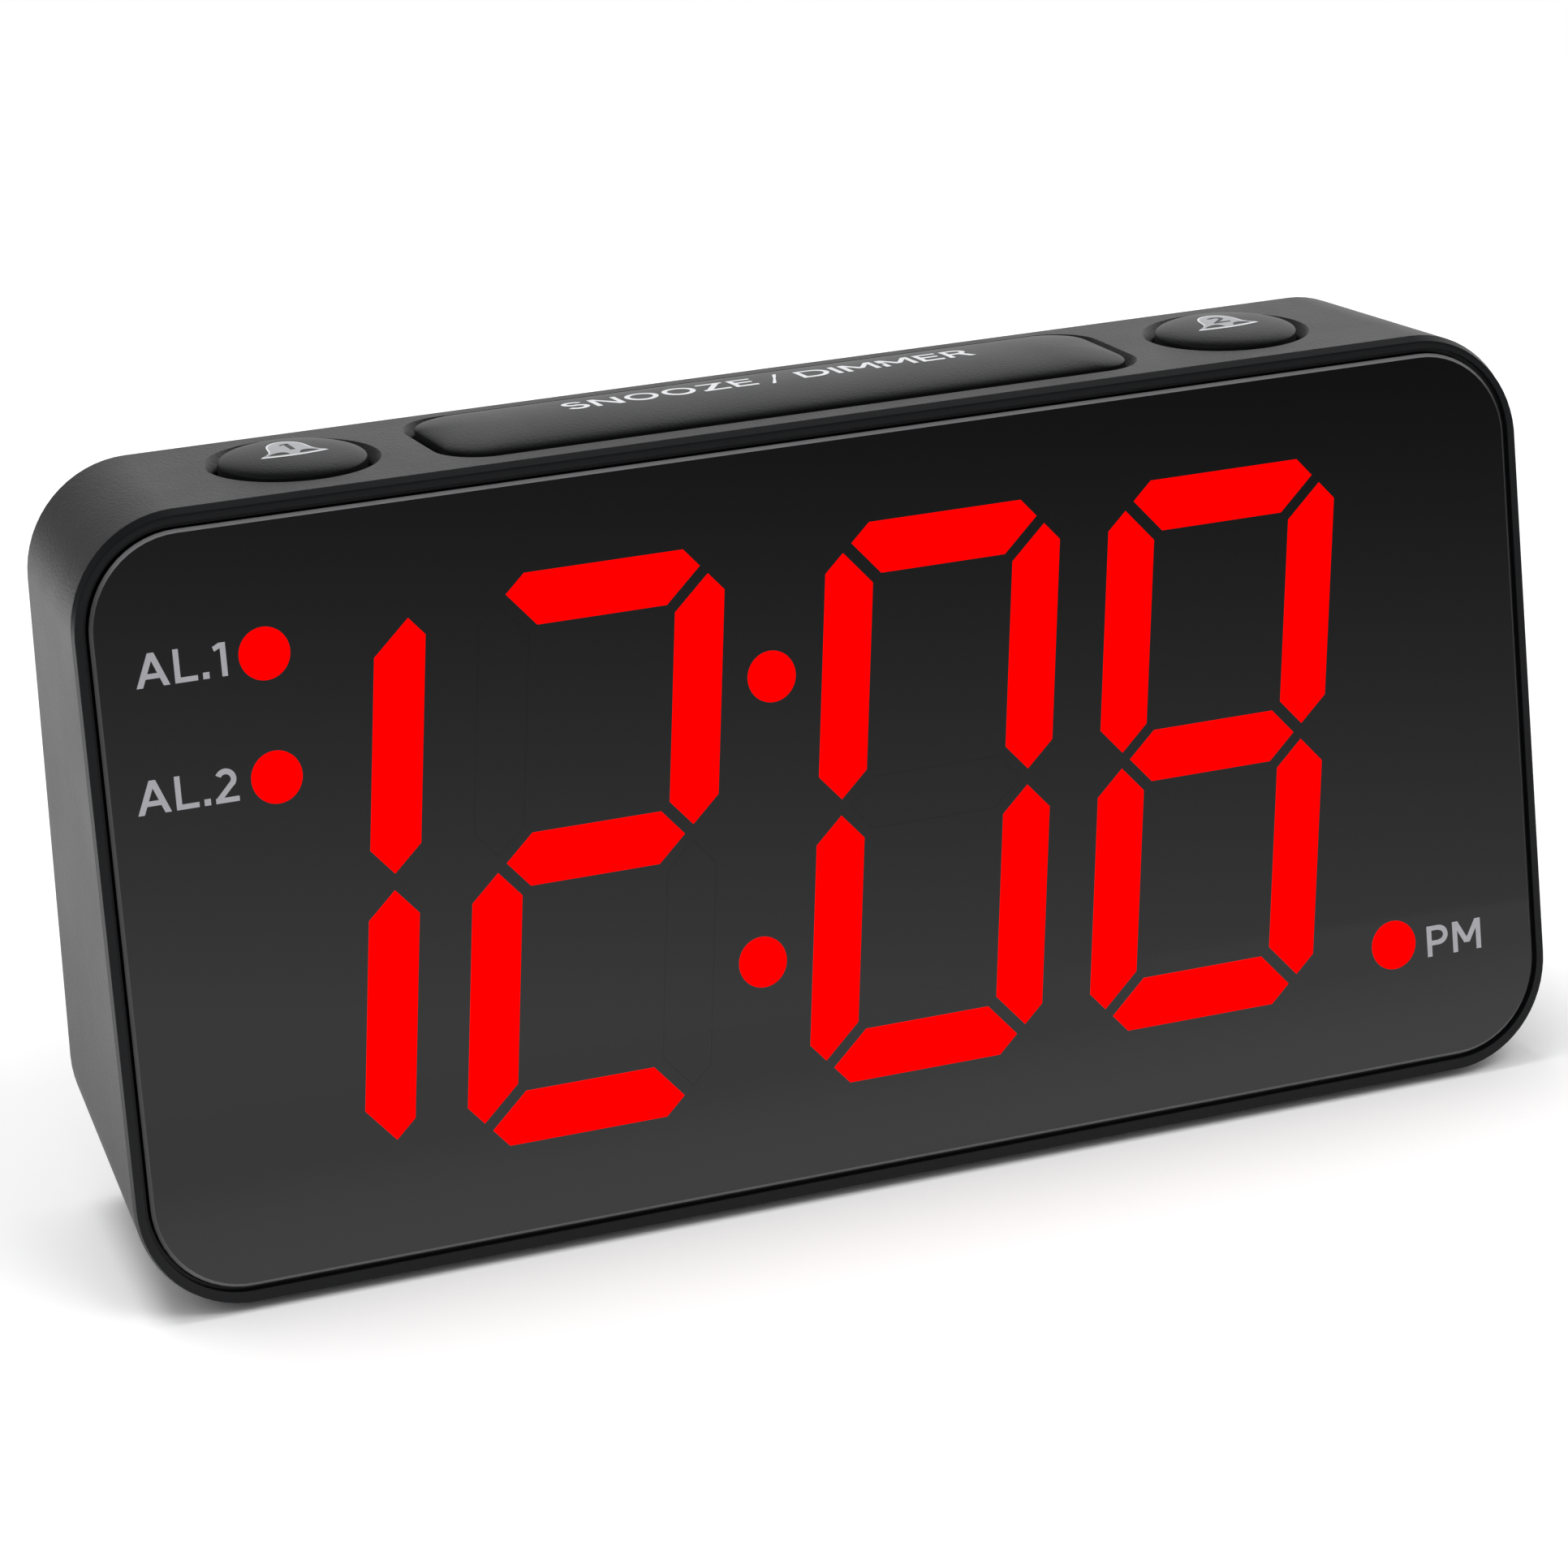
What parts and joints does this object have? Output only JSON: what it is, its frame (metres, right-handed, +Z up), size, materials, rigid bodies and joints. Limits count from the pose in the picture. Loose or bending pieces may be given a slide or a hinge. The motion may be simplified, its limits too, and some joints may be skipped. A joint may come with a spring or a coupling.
{
  "type": "alarm clock",
  "caption": "Mains digital alarm clock: leaning smoked front panel with large red digits, two alarm buttons and a long snooze bar on top.",
  "frame": {"origin": "on the surface the clock stands on, at the middle of its width and of its overall depth", "axes": "+X to the right as seen from the front, +Y towards the back, +Z up; the display faces -Y and leans back"},
  "size_m": [0.1612, 0.0406, 0.0802],
  "materials": {
    "case_plastic": "fine satin texture",
    "frame_plastic": "semi-gloss",
    "panel_acrylic": "polished, dark smoked",
    "tape": "matt",
    "red_light": "lit red",
    "dark_window": "unlit, dark smoked",
    "white_plastic": "matt white",
    "led_package": "clear epoxy over white",
    "circuit_board": "green solder mask",
    "plated_steel": "zinc plated",
    "dark_steel": "black zinc plated",
    "chip_epoxy": "moulded epoxy",
    "foot_rubber": "matt",
    "button_plastic": "soft satin",
    "plunger_plastic": "matt",
    "switch_plastic": "matt",
    "tin_can": "tin plated",
    "capacitor_sleeve": "shrunk sleeve",
    "jack_plastic": "moulded",
    "cell_jacket": "printed film",
    "spring_steel": "nickel plated",
    "speaker_steel": "plated",
    "cone_paper": "pressed paper",
    "ferrite": "matt",
    "wire_insulation": "PVC",
    "cable_insulation": "PVC"
  },
  "bodies": {
    "clock_body": {"rear_case": "case_plastic", "front_bezel": "frame_plastic", "front_lens": "panel_acrylic", "lens_tape": "tape", "lit_segments": "red_light", "unlit_segments": "dark_window", "colon_dots": "red_light", "alarm_1_dot": "red_light", "alarm_2_dot": "red_light", "pm_dot": "red_light", "reflector_block": "white_plastic", "display_leds": "led_package", "display_board": "circuit_board", "display_screws": "plated_steel", "led_drivers": "chip_epoxy", "case_screws": "dark_steel", "front_feet": "foot_rubber", "rear_feet": "foot_rubber", "top_switches": "switch_plastic", "rear_switches": "switch_plastic", "key_board": "circuit_board", "key_board_screws": "plated_steel", "main_board": "circuit_board", "main_board_screws": "plated_steel", "controller_chip": "chip_epoxy", "clock_crystal": "tin_can", "capacitors": "capacitor_sleeve", "dc_jack": "jack_plastic", "dc_jack_pin": "spring_steel", "volume_switch": "tin_can", "battery_cells": "cell_jacket", "battery_springs": "spring_steel", "battery_contacts": "spring_steel", "speaker_frame": "speaker_steel", "speaker_cone": "cone_paper", "speaker_magnet": "ferrite", "speaker_wires": "wire_insulation", "battery_wires": "wire_insulation", "display_cable": "cable_insulation", "key_cable": "cable_insulation"},
    "alarm_1_button": {"alarm_1_button": "button_plastic", "alarm_1_plunger": "plunger_plastic"},
    "alarm_2_button": {"alarm_2_button": "button_plastic", "alarm_2_plunger": "plunger_plastic"},
    "snooze_bar": {"snooze_bar": "button_plastic", "snooze_plungers": "plunger_plastic"},
    "time_button": {"time_button": "button_plastic", "time_plunger": "plunger_plastic"},
    "hour_button": {"hour_button": "button_plastic", "hour_plunger": "plunger_plastic"},
    "minute_button": {"minute_button": "button_plastic", "minute_plunger": "plunger_plastic"},
    "volume_knob": {"volume_knob": "plunger_plastic"},
    "battery_door": {"battery_door": "case_plastic"}
  },
  "joints": [
    {"name": "alarm_1_press", "type": "slide", "parent": "clock_body", "child": "alarm_1_button", "axis": [0, -0.0932, -0.9957], "range_m": [0, 0.0008], "stiffness_N_per_m": 900, "springref_m": -0.0008},
    {"name": "alarm_2_press", "type": "slide", "parent": "clock_body", "child": "alarm_2_button", "axis": [0, -0.0932, -0.9957], "range_m": [0, 0.0008], "stiffness_N_per_m": 900, "springref_m": -0.0008},
    {"name": "snooze_press", "type": "slide", "parent": "clock_body", "child": "snooze_bar", "axis": [0, -0.0932, -0.9957], "range_m": [0, 0.0009], "stiffness_N_per_m": 1200, "springref_m": -0.0008},
    {"name": "time_press", "type": "slide", "parent": "clock_body", "child": "time_button", "axis": [0, -0.9916, 0.1294], "range_m": [0, 0.0006], "stiffness_N_per_m": 900, "springref_m": -0.0006},
    {"name": "hour_press", "type": "slide", "parent": "clock_body", "child": "hour_button", "axis": [0, -0.9916, 0.1294], "range_m": [0, 0.0006], "stiffness_N_per_m": 900, "springref_m": -0.0006},
    {"name": "minute_press", "type": "slide", "parent": "clock_body", "child": "minute_button", "axis": [0, -0.9916, 0.1294], "range_m": [0, 0.0006], "stiffness_N_per_m": 900, "springref_m": -0.0006},
    {"name": "volume_slide", "type": "slide", "parent": "clock_body", "child": "volume_knob", "axis": [-1, 0, 0], "range_m": [-0.0015, 0.0015]},
    {"name": "battery_door_hinge", "type": "hinge", "parent": "clock_body", "child": "battery_door", "pos_m": [0.034, 0.01092, 0.01416], "axis": [-1, 0, 0], "range_deg": [0, 75]}
  ]
}
